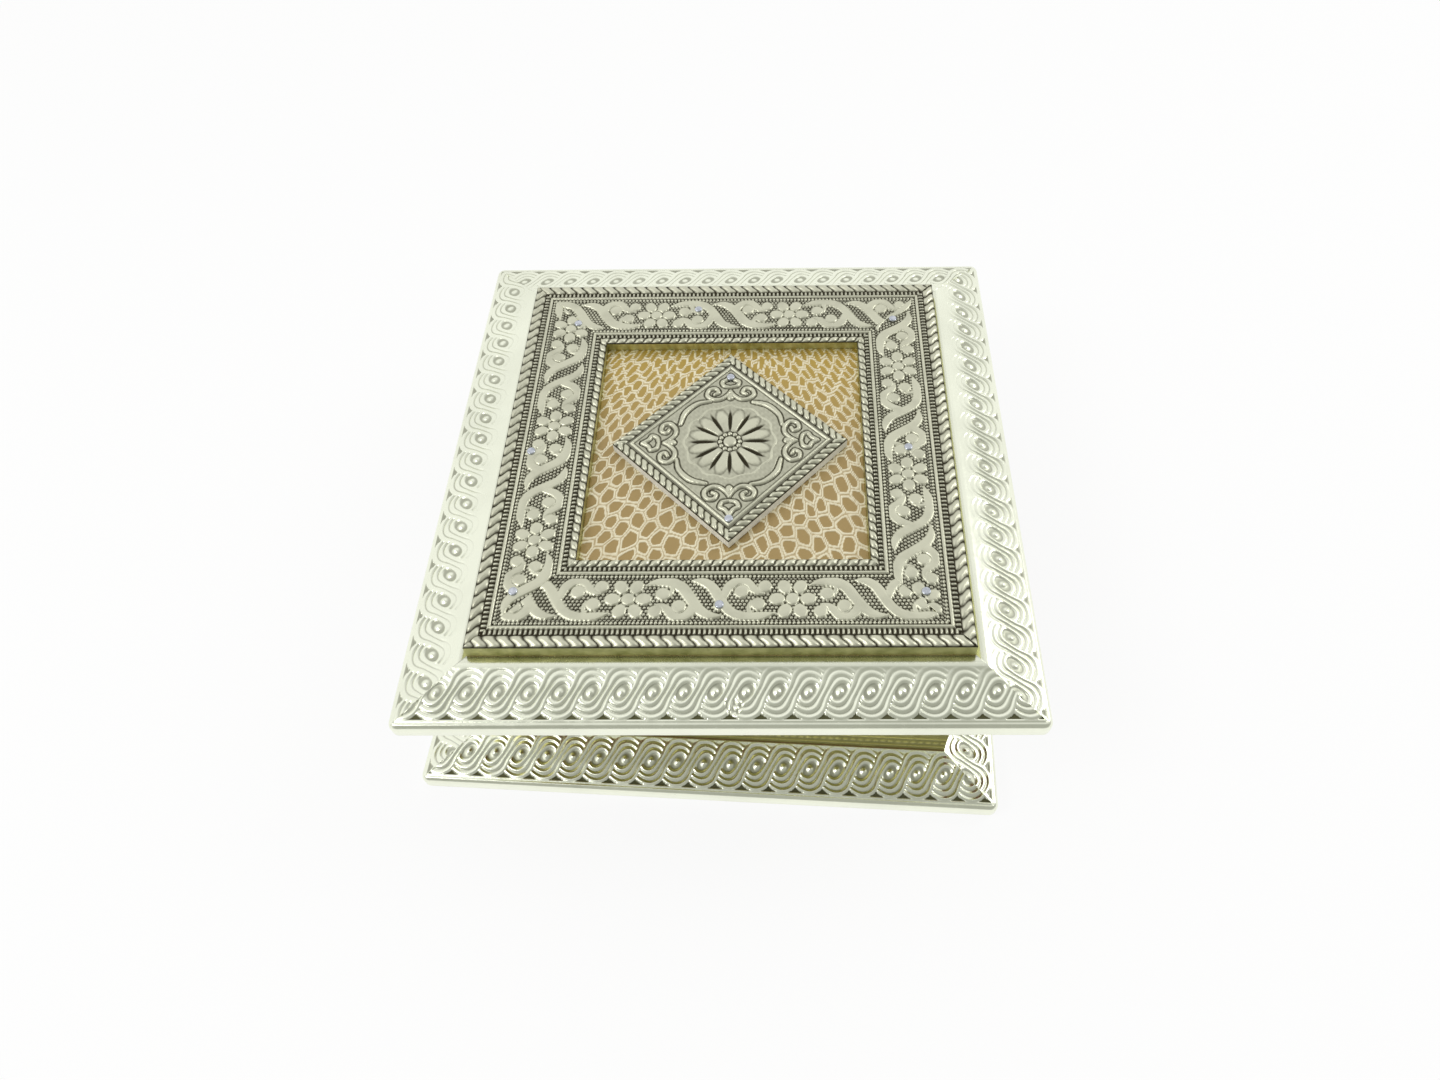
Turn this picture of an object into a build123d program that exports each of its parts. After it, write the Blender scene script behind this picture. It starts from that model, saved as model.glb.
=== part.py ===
"""A square dry fruit box with a lift-off lid, in millimetres.

Two moulded boards of one shape, each with a sloped border round a raised flat, are the base and the
lid. Four walls stand on the base and two crossing dividers make four compartments. The lid carries a
raised square frame round a panel, and a small square plaque turned on the panel. Thin embossed metal
covers the boards and the frame. The lid lies loose, turned and shifted a little, as it was left.

The origin is the middle of the underside, +Z is up and the front looks along -Y.
"""
import os
from math import cos, radians, sin, sqrt

from build123d import *

os.makedirs("parts", exist_ok=True)

# The moulded boards of base and lid, outside sizes with their foil
PLATE_SIDE = 203.0
PLATE_RIM = 6.8
PLATE_RISE = 4.5
FLAT_SIDE = 166.0
PLAN_ROUND = 3.0
RIM_ROUND = 2.4

# Foil on the boards, and how far it is turned under them
PLATE_FOIL = 0.8
TURN_UNDER = 12.0
BOARD_BEVEL = 1.0

# Walls of the box
WALL_HEIGHT = 48.2
WALL_THICK = 6.0
WALL_FOIL = 0.5
LINING = 0.8

# Dividers
DIVIDER_THICK = 3.0
DIVIDER_BELOW_WALL = 6.0
LAP_PLAY = 0.2

# How the lid lies on the walls
LID_TURN = 3.0
LID_SHIFT_X = 2.7
LID_SHIFT_Y = 0.4

# Battens that keep the lid on the walls, and the room left where one comes nearest to them
BATTEN_LENGTH = 50.0
BATTEN_WIDTH = 8.0
BATTEN_HEIGHT = 5.0
BATTEN_CLEARANCE = 0.7

# Raised frame
FRAME_SIDE = 159.0
STRIP_WIDTH = 31.3
RAIL_HEIGHT = 5.2
STRIP_THICK = 1.2

# Panel inside the frame
PANEL_BOARD = 1.3
PANEL_SHEET = 0.8

# Plaque on the panel
PLAQUE_SIDE = 59.0
PLAQUE_BLOCK = 3.35
PLAQUE_SHEET = 1.2
PLAQUE_TURN = 46.1
PLAQUE_SHIFT_X = 0.8
PLAQUE_SHIFT_Y = 0.1

# Domed nails through frame and plaque
NAIL_HEAD = 3.0
NAIL_DOME = 0.6
NAIL_DOME_ROUND = 0.45
NAIL_SHANK = 1.2
NAIL_LENGTH = 9.6

# Headless brads in the joints of the boards
BRAD_SHANK = 1.2
WALL_BRAD_LENGTH = 22.0
WALL_BRADS_PER_CORNER = 3
BASE_BRAD_LENGTH = 26.0
BASE_BRAD_SPACING = 80.0
BATTEN_BRAD_LENGTH = 11.0
BATTEN_BRAD_SPACING = 30.0

# Where each frame nail was driven: its side, the end of the side it is near (0 is the middle),
# then its offsets along the side and outward, from the middle line of the strip
FRAME_NAILS = (
    ("front", -1, -2.9, -3.6),
    ("front", 0, -0.5, 1.3),
    ("front", 1, 1.3, -3.2),
    ("right", 0, -3.1, 0.0),
    ("back", -1, 1.4, -4.3),
    ("back", 0, 13.6, 1.6),
    ("back", 1, -3.6, -5.6),
    ("left", 0, 4.1, 5.5),
)
# How far in from the plaque's corners its two nails are, along the diagonal
PLAQUE_NAIL_BACK = 12.1
PLAQUE_NAIL_FRONT = 8.6

# Heights over the board's underside and half sizes that follow
SIDES = {"right": 0, "back": 90, "left": 180, "front": 270}
PLATE_TOP = PLATE_RIM + PLATE_RISE
LID_UNDERSIDE = PLATE_TOP + WALL_HEIGHT
HALF_PLATE = PLATE_SIDE / 2
HALF_FLAT = FLAT_SIDE / 2
HALF_WALLS = HALF_FLAT - WALL_FOIL
HALF_INSIDE = HALF_WALLS - WALL_THICK
HALF_LINED = HALF_INSIDE - LINING
WALL_MIDDLE = HALF_INSIDE + WALL_THICK / 2
FLOOR_TOP = PLATE_TOP + LINING
DIVIDER_TOP = LID_UNDERSIDE - DIVIDER_BELOW_WALL
DIVIDER_MIDDLE = (FLOOR_TOP + DIVIDER_TOP) / 2
LAP_WIDTH = DIVIDER_THICK + LAP_PLAY
RAIL_TOP = PLATE_TOP + RAIL_HEIGHT
FRAME_TOP = RAIL_TOP + STRIP_THICK
HALF_FRAME = FRAME_SIDE / 2
HALF_OPENING = HALF_FRAME - STRIP_WIDTH
STRIP_MIDDLE = HALF_FRAME - STRIP_WIDTH / 2
PANEL_BOARD_TOP = PLATE_TOP + PANEL_BOARD
PANEL_TOP = PANEL_BOARD_TOP + PANEL_SHEET
PLAQUE_BLOCK_TOP = PANEL_TOP + PLAQUE_BLOCK
PLAQUE_TOP = PLAQUE_BLOCK_TOP + PLAQUE_SHEET

# The board's surface under the foil: its slope, and the foil's thickness measured upright on it
SLOPE = PLATE_RISE / (HALF_PLATE - HALF_FLAT)
FOIL_UPRIGHT = PLATE_FOIL * sqrt(1 + SLOPE**2)
HALF_BOARD = HALF_PLATE - PLATE_FOIL
BOARD_RIM = PLATE_RIM + SLOPE * PLATE_FOIL - FOIL_UPRIGHT

# The battens stand back from the walls by as much as the lid is turned and shifted
LID_SHIFT = max(abs(LID_SHIFT_X), abs(LID_SHIFT_Y))
BATTEN_REACH = HALF_LINED - BATTEN_CLEARANCE - LID_SHIFT - BATTEN_LENGTH / 2 * sin(radians(LID_TURN))
BATTEN_OUT = BATTEN_REACH / cos(radians(LID_TURN))
BATTEN_MIDDLE = BATTEN_OUT - BATTEN_WIDTH / 2

# The home planes of the base, of the lid on the walls and of the plaque on the lid
BASE_HOME = Plane.XY
LID_HOME = Plane((LID_SHIFT_X, LID_SHIFT_Y, LID_UNDERSIDE)).rotated((0, 0, LID_TURN))
PLAQUE_HOME = LID_HOME.shift_origin(
    LID_HOME.from_local_coords((PLAQUE_SHIFT_X, PLAQUE_SHIFT_Y, 0))
).rotated((0, 0, PLAQUE_TURN))


def write(piece, label):
    """Labels a finished piece and writes it under that name."""
    piece.part.label = label
    export_step(piece.part, f"parts/{label}.step")


def facing(home, side):
    """The home plane turned so that its X looks out of the named side."""
    return home.rotated((0, 0, SIDES[side]))


def section(home, side):
    """An upright plane across one side: its X points outward and its Y up."""
    out = facing(home, side)
    return Plane(origin=out.origin, x_dir=out.x_dir, z_dir=-out.y_dir)


def mitre_planes(home, side):
    """The two upright planes through the corners that bound one side, looking into it."""
    out = facing(home, side)
    return (
        Plane(origin=out.origin, z_dir=out.x_dir - out.y_dir),
        Plane(origin=out.origin, z_dir=out.x_dir + out.y_dir),
    )


def wall_face(side):
    """The outer face of one wall board, looking outward, with its X along the wall and its Y up."""
    out = facing(BASE_HOME, side)
    return Plane(origin=out.origin + out.x_dir * HALF_WALLS, x_dir=out.y_dir, z_dir=out.x_dir)


def pairs_on_sides(outward, spacing):
    """Points in pairs on the four sides of a square, each pair centred on its side."""
    points = []
    for side in SIDES.values():
        for along in (-spacing / 2, spacing / 2):
            points.append(Vector(outward, along).rotate(Axis.Z, side))
    return points


def frame_nail_points():
    """The frame's nails where they were driven, on the lid."""
    points = []
    for side, end, along, outward in FRAME_NAILS:
        here = Vector(STRIP_MIDDLE + outward, end * STRIP_MIDDLE + along)
        points.append(here.rotate(Axis.Z, SIDES[side]))
    return points


def plaque_nail_points():
    """The plaque's two nails, on its diagonal from back to front."""
    back = PLAQUE_SIDE / 2 - PLAQUE_NAIL_BACK / sqrt(2)
    front = PLAQUE_SIDE / 2 - PLAQUE_NAIL_FRONT / sqrt(2)
    return [Vector(back, back), Vector(-front, -front)]


def corner_brad_points():
    """The brads at both ends of a front or back wall, on its outer face."""
    pitch = WALL_HEIGHT / WALL_BRADS_PER_CORNER
    points = []
    for end in (-WALL_MIDDLE, WALL_MIDDLE):
        for row in range(WALL_BRADS_PER_CORNER):
            points.append(Vector(end, PLATE_TOP + (row + 1 / 2) * pitch))
    return points


# Pins of each kind: their plane, places, diameter, and the heights of their two ends on that plane
FRAME_SHANKS = (LID_HOME, frame_nail_points(), NAIL_SHANK, FRAME_TOP - NAIL_LENGTH, FRAME_TOP)
PLAQUE_SHANKS = (PLAQUE_HOME, plaque_nail_points(), NAIL_SHANK, PLAQUE_TOP - NAIL_LENGTH, PLAQUE_TOP)
BATTEN_BRADS = (
    LID_HOME,
    pairs_on_sides(BATTEN_MIDDLE, BATTEN_BRAD_SPACING),
    BRAD_SHANK,
    -BATTEN_HEIGHT,
    BATTEN_BRAD_LENGTH - BATTEN_HEIGHT,
)
FOOT_BRADS = (
    BASE_HOME,
    pairs_on_sides(WALL_MIDDLE, BASE_BRAD_SPACING),
    BRAD_SHANK,
    PLATE_FOIL,
    PLATE_FOIL + BASE_BRAD_LENGTH,
)
FRONT_BRADS = (wall_face("front"), corner_brad_points(), BRAD_SHANK, -WALL_BRAD_LENGTH, 0)
BACK_BRADS = (wall_face("back"), corner_brad_points(), BRAD_SHANK, -WALL_BRAD_LENGTH, 0)


def add_pins(pins, mode=Mode.ADD):
    """Adds the pins to the part being built, or cuts their holes out of it."""
    plane, points, diameter, low, high = pins
    with BuildSketch(plane.offset(low)) as ends:
        with Locations(*points):
            Circle(diameter / 2)
    extrude(ends.sketch, amount=high - low, mode=mode)


def add_heads(pins):
    """Adds a domed head at the top of each pin of the part being built."""
    plane, points, _, _, high = pins
    with BuildSketch(plane.offset(high)) as heads:
        with Locations(*points):
            Circle(NAIL_HEAD / 2)
    extrude(heads.sketch, amount=NAIL_DOME)


def brads(*kinds):
    """Headless brads, each a solid of its own."""
    with BuildPart() as group:
        for pins in kinds:
            add_pins(pins)
    return group


def domed_nails(pins):
    """Nails with domed heads that sit on the sheet they hold, each a solid of its own."""
    with BuildPart() as group:
        add_heads(pins)
        fillet(group.edges().group_by(Axis.Z)[-1], NAIL_DOME_ROUND)
        add_pins(pins)
    return group


def slab(home, size, bottom, top, *kinds):
    """A flat square sheet or board between two heights, with holes for the pins through it."""
    with BuildPart() as piece:
        with BuildSketch(home.offset(bottom)):
            Rectangle(size, size)
        extrude(amount=top - bottom)
        for pins in kinds:
            add_pins(pins, Mode.SUBTRACT)
    return piece


def plate_board(home, *kinds):
    """A moulded board: bevelled rim, sloped border and raised flat, with holes for its pins."""
    profile = (
        (HALF_BOARD - BOARD_BEVEL, PLATE_FOIL),
        (HALF_BOARD, PLATE_FOIL + BOARD_BEVEL),
        (HALF_BOARD, BOARD_RIM - BOARD_BEVEL),
        (HALF_BOARD - BOARD_BEVEL, BOARD_RIM + SLOPE * BOARD_BEVEL),
        (HALF_FLAT, PLATE_TOP - FOIL_UPRIGHT),
    )
    with BuildPart() as board:
        for half, height in profile:
            with BuildSketch(home.offset(height)):
                Rectangle(2 * half, 2 * half)
        loft(ruled=True)
        with BuildSketch(home.offset(PLATE_TOP - FOIL_UPRIGHT)):
            Rectangle(FLAT_SIDE, FLAT_SIDE)
        extrude(amount=FOIL_UPRIGHT)
        with BuildSketch(home):
            RectangleRounded(2 * HALF_BOARD, 2 * HALF_BOARD, PLAN_ROUND - PLATE_FOIL)
        extrude(amount=PLATE_TOP, mode=Mode.INTERSECT)
        for pins in kinds:
            add_pins(pins, Mode.SUBTRACT)
    return board


def plate_foil(home, side):
    """Foil over one side of a moulded board: on the slope, round the rim and turned under."""
    with BuildPart() as foil:
        with BuildSketch(section(home, side)):
            with BuildLine():
                Polyline(
                    (HALF_FLAT, PLATE_TOP),
                    (HALF_FLAT, PLATE_TOP - FOIL_UPRIGHT),
                    (HALF_BOARD - BOARD_BEVEL, BOARD_RIM + SLOPE * BOARD_BEVEL),
                    (HALF_BOARD, BOARD_RIM - BOARD_BEVEL),
                    (HALF_BOARD, PLATE_FOIL + BOARD_BEVEL),
                    (HALF_BOARD - BOARD_BEVEL, PLATE_FOIL),
                    (HALF_PLATE - TURN_UNDER, PLATE_FOIL),
                    (HALF_PLATE - TURN_UNDER, 0),
                )
                FilletPolyline(
                    (HALF_PLATE - TURN_UNDER, 0),
                    (HALF_PLATE, 0),
                    (HALF_PLATE, PLATE_RIM),
                    (HALF_FLAT, PLATE_TOP),
                    radius=RIM_ROUND,
                )
            make_face()
        extrude(amount=HALF_PLATE, both=True)
        for plane in mitre_planes(home, side):
            split(bisect_by=plane, keep=Keep.TOP)
        with BuildSketch(home):
            RectangleRounded(PLATE_SIDE, PLATE_SIDE, PLAN_ROUND)
        extrude(amount=PLATE_TOP, mode=Mode.INTERSECT)
    return foil


def upright_sheet(side, outer_half, thick, half_length, bottom, top):
    """An upright board or sheet along one side of the box, without holes."""
    with BuildPart() as sheet:
        with BuildSketch(facing(BASE_HOME, side).offset(bottom)):
            with Locations((outer_half - thick / 2, 0)):
                Rectangle(thick, 2 * half_length)
        extrude(amount=top - bottom)
    return sheet


def wall(side, half_length):
    """One wall board, with holes for the brads of its corners and its foot."""
    with BuildPart() as board:
        with BuildSketch(facing(BASE_HOME, side).offset(PLATE_TOP)):
            with Locations((WALL_MIDDLE, 0)):
                Rectangle(WALL_THICK, 2 * half_length)
        extrude(amount=WALL_HEIGHT)
        for pins in (FOOT_BRADS, FRONT_BRADS, BACK_BRADS):
            add_pins(pins, Mode.SUBTRACT)
    return board


def divider(plane, lap_bottom, lap_top):
    """One divider board on an upright plane along it, with the slot where the other crosses."""
    with BuildPart() as board:
        with BuildSketch(plane):
            with Locations((0, DIVIDER_MIDDLE)):
                Rectangle(2 * HALF_LINED, DIVIDER_TOP - FLOOR_TOP)
            with Locations((0, (lap_bottom + lap_top) / 2)):
                Rectangle(LAP_WIDTH, lap_top - lap_bottom, mode=Mode.SUBTRACT)
        extrude(amount=DIVIDER_THICK / 2, both=True)
    return board


def batten(side):
    """One locating batten under the lid."""
    with BuildPart() as strip:
        with BuildSketch(facing(LID_HOME, side).offset(-BATTEN_HEIGHT)):
            with Locations((BATTEN_MIDDLE, 0)):
                Rectangle(BATTEN_WIDTH, BATTEN_LENGTH)
        extrude(amount=BATTEN_HEIGHT)
        add_pins(BATTEN_BRADS, Mode.SUBTRACT)
    return strip


def frame_piece(side, bottom, top):
    """One mitred side of the raised frame, between two heights, with holes for its nails."""
    with BuildPart() as piece:
        with BuildSketch(facing(LID_HOME, side).offset(bottom)):
            with BuildLine():
                Polyline(
                    (HALF_OPENING, -HALF_OPENING),
                    (HALF_FRAME, -HALF_FRAME),
                    (HALF_FRAME, HALF_FRAME),
                    (HALF_OPENING, HALF_OPENING),
                    close=True,
                )
            make_face()
        extrude(amount=top - bottom)
        add_pins(FRAME_SHANKS, Mode.SUBTRACT)
    return piece


# The base
write(plate_board(BASE_HOME, FOOT_BRADS), "base_board")
write(slab(BASE_HOME, PLATE_SIDE - 2 * TURN_UNDER, 0, PLATE_FOIL), "base_sheet")
for side in SIDES:
    write(plate_foil(BASE_HOME, side), f"base_foil_{side}")

# The walls, butted at the corners: front and back run the full width
for side in SIDES:
    if side in ("front", "back"):
        half_board, half_foil, half_lining = HALF_WALLS, HALF_FLAT, HALF_INSIDE
    else:
        half_board, half_foil, half_lining = HALF_INSIDE, HALF_WALLS, HALF_LINED
    write(wall(side, half_board), f"wall_{side}")
    write(
        upright_sheet(side, HALF_FLAT, WALL_FOIL, half_foil, PLATE_TOP, LID_UNDERSIDE),
        f"wall_foil_{side}",
    )
    write(
        upright_sheet(side, HALF_INSIDE, LINING, half_lining, FLOOR_TOP, LID_UNDERSIDE),
        f"wall_lining_{side}",
    )
write(brads(FRONT_BRADS, BACK_BRADS), "wall_brads")
write(brads(FOOT_BRADS), "base_brads")

# The inside
write(slab(BASE_HOME, 2 * HALF_INSIDE, PLATE_TOP, FLOOR_TOP), "floor_lining")
write(divider(Plane.XZ, DIVIDER_MIDDLE, DIVIDER_TOP), "divider_long")
write(divider(Plane.YZ, FLOOR_TOP, DIVIDER_MIDDLE), "divider_cross")

# The lid and what keeps it on the walls
write(plate_board(LID_HOME, BATTEN_BRADS, FRAME_SHANKS, PLAQUE_SHANKS), "lid_board")
write(slab(LID_HOME, PLATE_SIDE - 2 * TURN_UNDER, 0, PLATE_FOIL, BATTEN_BRADS), "lid_lining")
for side in SIDES:
    write(plate_foil(LID_HOME, side), f"lid_foil_{side}")
    write(batten(side), f"lid_batten_{side}")
write(brads(BATTEN_BRADS), "batten_brads")

# The raised frame, its panel and the plaque
for side in SIDES:
    write(frame_piece(side, PLATE_TOP, RAIL_TOP), f"frame_rail_{side}")
    write(frame_piece(side, RAIL_TOP, FRAME_TOP), f"frame_strip_{side}")
write(domed_nails(FRAME_SHANKS), "frame_nails")
write(slab(LID_HOME, 2 * HALF_OPENING, PLATE_TOP, PANEL_BOARD_TOP, PLAQUE_SHANKS), "panel_board")
write(slab(LID_HOME, 2 * HALF_OPENING, PANEL_BOARD_TOP, PANEL_TOP, PLAQUE_SHANKS), "panel_sheet")
write(slab(PLAQUE_HOME, PLAQUE_SIDE, PANEL_TOP, PLAQUE_BLOCK_TOP, PLAQUE_SHANKS), "plaque_block")
write(slab(PLAQUE_HOME, PLAQUE_SIDE, PLAQUE_BLOCK_TOP, PLAQUE_TOP, PLAQUE_SHANKS), "plaque_sheet")
write(domed_nails(PLAQUE_SHANKS), "plaque_nails")
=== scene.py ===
"""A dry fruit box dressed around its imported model: embossed foil, antique silver frame and plaque.

All sizes in the code are metres, except in the functions that draw patterns, which work in millimetres.
"""
import math

import bpy
import numpy as np
from bpy.props import FloatProperty, FloatVectorProperty, PointerProperty
from mathutils import Matrix, Vector


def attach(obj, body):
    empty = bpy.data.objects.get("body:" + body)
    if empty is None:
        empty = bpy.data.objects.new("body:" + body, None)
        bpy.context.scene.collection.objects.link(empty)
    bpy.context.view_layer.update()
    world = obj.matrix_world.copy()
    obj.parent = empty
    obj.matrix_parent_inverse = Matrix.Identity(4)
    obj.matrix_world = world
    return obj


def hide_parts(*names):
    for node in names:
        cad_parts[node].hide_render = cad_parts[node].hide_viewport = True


bl_info = {
    "name": "Dry Fruit Box",
    "version": (1, 0, 0),
    "blender": (4, 5, 0),
    "location": "View3D > Sidebar > Dry Fruit Box",
    "description": "Embossed foil, frame, plaque and lining of a square dry fruit box",
    "category": "Object",
}

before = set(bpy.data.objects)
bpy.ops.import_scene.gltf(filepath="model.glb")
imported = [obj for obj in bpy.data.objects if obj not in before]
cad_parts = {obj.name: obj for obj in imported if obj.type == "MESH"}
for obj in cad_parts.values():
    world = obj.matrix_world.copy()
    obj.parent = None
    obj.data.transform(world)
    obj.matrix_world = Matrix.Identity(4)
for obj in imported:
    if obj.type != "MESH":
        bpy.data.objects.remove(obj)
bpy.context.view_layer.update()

MM = 0.001
SIDES = {"right": 0, "back": 90, "left": 180, "front": 270}

# The foil over base and lid, as the boards are moulded
FOIL_THICK = 0.8
RIM_HEIGHT = 6.8
RIM_ROUND = 2.4
PLAN_ROUND = 3.0


class Home:
    """Where a square part of the box lies: its middle, its turn about Z and the height of its underside."""

    def __init__(self, x, y, turn, low):
        self.middle = (x, y)
        self.turn = math.radians(turn)
        self.low = low

    def turned(self, x, y, turn):
        """A home shifted and turned on this one."""
        c, s = math.cos(self.turn), math.sin(self.turn)
        return Home(self.middle[0] + x * c - y * s, self.middle[1] + x * s + y * c,
                    math.degrees(self.turn) + turn, self.low)

    def place(self, x, y, z, side="right"):
        """Local points of one side, x outward and y along it, as points of the row frame in metres."""
        angle = self.turn + math.radians(SIDES[side])
        c, s = math.cos(angle), math.sin(angle)
        out = (x * c - y * s + self.middle[0], x * s + y * c + self.middle[1], z)
        return np.stack(np.broadcast_arrays(*out), -1) * MM


def smooth_step(value, low, high):
    """Rises from 0 at low to 1 at high along a cubic that is level at both ends."""
    t = np.clip((value - low) / (high - low), 0, 1)
    return t * t * (3 - 2 * t)


def dome(distance, radius):
    """The height of a half ball of the given radius over its circle, from 1 in the middle to 0."""
    return np.sqrt(np.clip(1 - (distance / radius) ** 2, 0, 1))


def ripple(x, y, scale, seed):
    """A smooth uneven field between about -1 and 1: four crossing sine waves of unrelated directions."""
    total = np.zeros(np.broadcast(x, y).shape)
    for i in range(4):
        angle = seed + 2.4 * i
        length = scale * (0.7 + 0.23 * i)
        phase = (x * math.cos(angle) + y * math.sin(angle)) * 2 * math.pi / length
        total = total + np.sin(phase + seed * (i + 1))
    return total / 4


# Running wave of the foil: spacing of the eyes and of the lines, radius of the first line, reach of the
# rings, radius of the bead in an eye, lean near the row and how far it goes, stretch across the slope,
# heights of the plain ground and of the notches, and how faint the upper lines get
WAVE_PITCH = 9.6
WAVE_LINE = 1.8
WAVE_FIRST = 1.2
WAVE_REACH = 7.3
WAVE_BEAD = 1.6
WAVE_LEAN = 0.6
WAVE_LEAN_REACH = 3.4
WAVE_STRETCH = 1.17
WAVE_GROUND = 0.72
WAVE_NOTCH = 0.2
WAVE_FAINT = 0.55


def running_wave(along, across, stretch):
    """Height of the running wave, and where its notches are. Rings of evenly spaced lines lie round a row
    of eyes. Below the row the earlier eye's rings lie over the later one's and above it the later over
    the earlier, so the lower rings of one eye run on as the upper rings of the next, in S shapes that
    lean near the middle and grow faint above it. The notches below the rings are sunk."""
    y = across / stretch
    x = along - WAVE_LEAN * y * np.exp(-((y / WAVE_LEAN_REACH) ** 2))
    eyes = np.floor(x / WAVE_PITCH)[..., None] + np.arange(-1, 3)
    reach = np.hypot(x[..., None] - eyes * WAVE_PITCH, y[..., None])
    covered = reach < WAVE_REACH
    first = np.argmax(covered, -1)
    last = covered.shape[-1] - 1 - np.argmax(covered[..., ::-1], -1)
    pick = np.where(y < 0, first, last)
    ring = np.take_along_axis(reach, pick[..., None], -1)[..., 0]
    line = 0.5 + 0.5 * np.cos(2 * np.pi * (ring - WAVE_FIRST) / WAVE_LINE)
    faint = WAVE_FAINT * smooth_step(y, 0.5, 5.5)
    height = line**0.5 * (1 - faint) + WAVE_GROUND * faint
    ball = np.hypot(along - WAVE_PITCH * np.round(along / WAVE_PITCH), y)
    bead = 0.5 + 0.5 * np.cos(np.pi * np.minimum(ball / WAVE_BEAD, 1))
    moat = WAVE_FIRST + WAVE_LINE / 2
    height = np.maximum(bead, height * smooth_step(ring, moat - 0.18, moat + 0.18))
    fade = smooth_step(WAVE_REACH - ring, 0.0, 0.4)
    notch = ~covered.any(-1) & (y < 0) & (y > -0.97 * WAVE_REACH)
    ground = np.where(notch, WAVE_NOTCH, WAVE_GROUND)
    return np.where(covered.any(-1), height * fade + WAVE_GROUND * (1 - fade), ground), notch


def smooth_path(points, spacing):
    """A smooth line through points of (x, y, half width): each span is the cubic that leaves and meets its
    ends along the lines between their neighbours."""
    p = np.array(points, float)
    ends = np.vstack((2 * p[0] - p[1], p, 2 * p[-1] - p[-2]))
    out = []
    for a, b, c, d in zip(ends[:-3], ends[1:-2], ends[2:-1], ends[3:]):
        count = max(2, int(np.hypot(*(c - b)[:2]) / spacing))
        t = np.linspace(0, 1, count, endpoint=False)[:, None]
        square, cube = a - 2.5 * b + 2 * c - d / 2, 1.5 * (b - c) + (d - a) / 2
        out.append(b + t * (c - a) / 2 + t**2 * square + t**3 * cube)
    return np.vstack(out + [p[-1:]])


def outside_of_strokes(x, y, strokes, spacing=0.3):
    """How far each point lies outside the nearest stroke, negative within it."""
    nearest = np.full(x.shape, 9.0)
    for stroke in strokes:
        path = smooth_path(stroke, spacing)
        low, high = path[:, :2].min(0) - 3, path[:, :2].max(0) + 3
        near = (x > low[0]) & (x < high[0]) & (y > low[1]) & (y < high[1])
        gap = np.hypot(x[near][:, None] - path[:, 0], y[near][:, None] - path[:, 1]) - path[:, 2]
        nearest[near] = np.minimum(nearest[near], gap.min(-1))
    return nearest


def outside_of_petals(x, y, count, middle, half_length, half_width, start=0.0):
    """How far each point lies outside the nearest of a ring of oval petals round the origin."""
    nearest = np.full(x.shape, 9.0)
    for i in range(count):
        angle = start + 2 * math.pi * i / count
        outward = x * math.cos(angle) + y * math.sin(angle) - middle
        sideways = y * math.cos(angle) - x * math.sin(angle)
        oval = np.hypot(outward / half_length, sideways / half_width) - 1
        nearest = np.minimum(nearest, oval * half_width)
    return nearest


# Half widths and places of the scroll between two flowers of a frame strip, from the first flower's
# middle: along the strip and towards the opening
SCROLL_REPEAT = 52.0
SCROLL_LEAVES = (
    ((5.3, 4.9, 0.22), (8.6, 6.0, 1.21), (12.8, 6.0, 1.86), (16.8, 4.2, 1.98), (19.6, 0.4, 1.92),
     (22.4, -3.5, 1.86), (25.8, -5.7, 1.43), (30.2, -5.9, 0.22)),
    ((21.0, -1.2, 1.31), (20.0, -4.4, 1.65), (17.4, -6.4, 1.54), (14.6, -6.0, 1.65), (12.4, -3.6, 1.54),
     (10.0, -2.7, 1.31), (8.4, -4.0, 1.31)),
    ((13.4, 5.2, 0.77), (13.8, 3.0, 0.77), (12.6, 1.4, 1.1), (10.9, 1.7, 1.31)),
    ((20.0, 6.6, 0.33), (23.2, 6.3, 1.43), (26.2, 4.5, 1.75), (28.4, 1.2, 1.86), (30.4, -2.2, 1.75),
     (33.2, -5.0, 1.75), (37.4, -6.3, 1.65), (42.0, -6.0, 1.43), (46.6, -4.9, 0.22)),
    ((30.4, 1.0, 1.31), (31.8, 4.4, 1.65), (34.6, 6.4, 1.54), (37.4, 6.0, 1.65), (39.6, 3.6, 1.54),
     (42.0, 2.7, 1.31), (43.6, 4.0, 1.31)),
    ((38.6, -5.2, 0.77), (38.2, -3.0, 0.77), (39.4, -1.4, 1.1), (41.1, -1.7, 1.31)),
)
SCROLL_BUDS = (
    (8.7, -4.5, 2.3), (16.2, -2.6, 2.4), (10.9, 1.8, 2.4),
    (35.8, 2.6, 2.4), (43.3, 4.5, 2.3), (41.1, -1.8, 2.4),
)
FLOWER_DISC = 2.15
PETAL_MIDDLE = 4.95
PETAL_LENGTH = 2.6
PETAL_WIDTH = 2.15
RELIEF_EDGE = 0.2


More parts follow.
